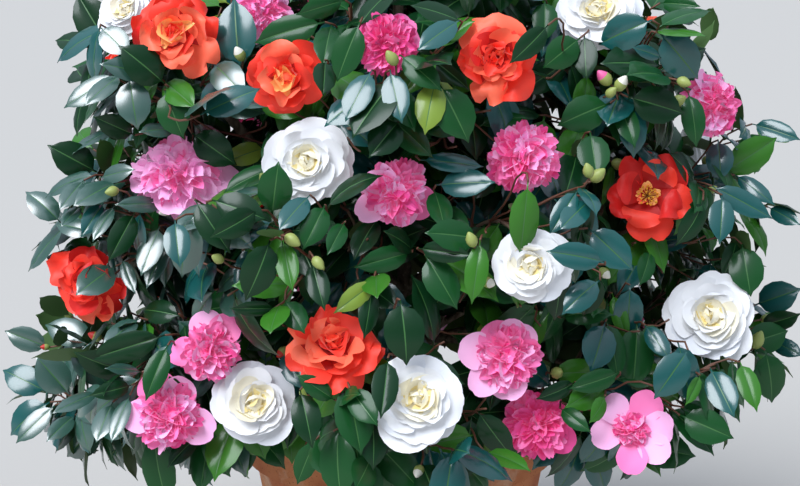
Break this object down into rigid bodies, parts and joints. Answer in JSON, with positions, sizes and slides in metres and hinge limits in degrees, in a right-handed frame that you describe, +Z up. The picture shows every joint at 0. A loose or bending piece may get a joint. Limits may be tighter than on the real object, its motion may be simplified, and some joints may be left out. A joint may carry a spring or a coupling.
{
  "type": "potted camellia shrub",
  "caption": "Evergreen flowering shrub in a round terracotta pot, with a mounded crown of glossy leaves and large red, pink and white double blooms.",
  "frame": {"origin": "middle of the pot's flat underside, on the surface that it stands on", "axes": "+Z up along the pot's axis; -Y towards the side that the picture shows; +X to that view's right"},
  "size_m": [1.0652, 0.985, 1.1438],
  "materials": {
    "terracotta": "matte",
    "compost": "matte",
    "bark": "matte",
    "foliage": "satin"
  },
  "bodies": {
    "root": {"bough_middle_back": "bark", "bough_middle_back_left": "bark", "bough_middle_back_right": "bark", "bough_middle_front": "bark", "bough_middle_front_left": "bark", "bough_middle_front_right": "bark", "bough_middle_left": "bark", "bough_middle_right": "bark", "bough_skirt_back": "bark", "bough_skirt_back_left": "bark", "bough_skirt_back_right": "bark", "bough_skirt_front": "bark", "bough_skirt_front_left": "bark", "bough_skirt_front_right": "bark", "bough_skirt_left": "bark", "bough_skirt_right": "bark", "bough_upper_back": "bark", "bough_upper_back_left": "bark", "bough_upper_back_right": "bark", "bough_upper_front": "bark", "compost": "compost", "foliage_middle_back": "foliage", "foliage_middle_back_left": "foliage", "foliage_middle_back_right": "foliage", "foliage_middle_front": "foliage", "foliage_middle_front_left": "foliage", "foliage_middle_front_right": "foliage", "foliage_middle_left": "foliage", "foliage_middle_right": "foliage", "foliage_skirt_back": "foliage", "foliage_skirt_back_left": "foliage", "foliage_skirt_back_right": "foliage", "foliage_skirt_front": "foliage", "foliage_skirt_front_left": "foliage", "foliage_skirt_front_right": "foliage", "foliage_skirt_left": "foliage", "foliage_skirt_right": "foliage", "foliage_top_back_left": "foliage", "foliage_top_back_right": "foliage", "foliage_top_front": "foliage", "foliage_upper_back": "foliage", "foliage_upper_back_left": "foliage", "foliage_upper_back_right": "foliage", "foliage_upper_front": "foliage", "foliage_upper_front_left": "foliage", "foliage_upper_front_right": "foliage", "pot": "terracotta", "stem_1": "bark", "stem_2": "bark", "stem_3": "bark", "stem_4": "bark", "stem_5": "bark", "trunk": "bark"}
  },
  "joints": []
}
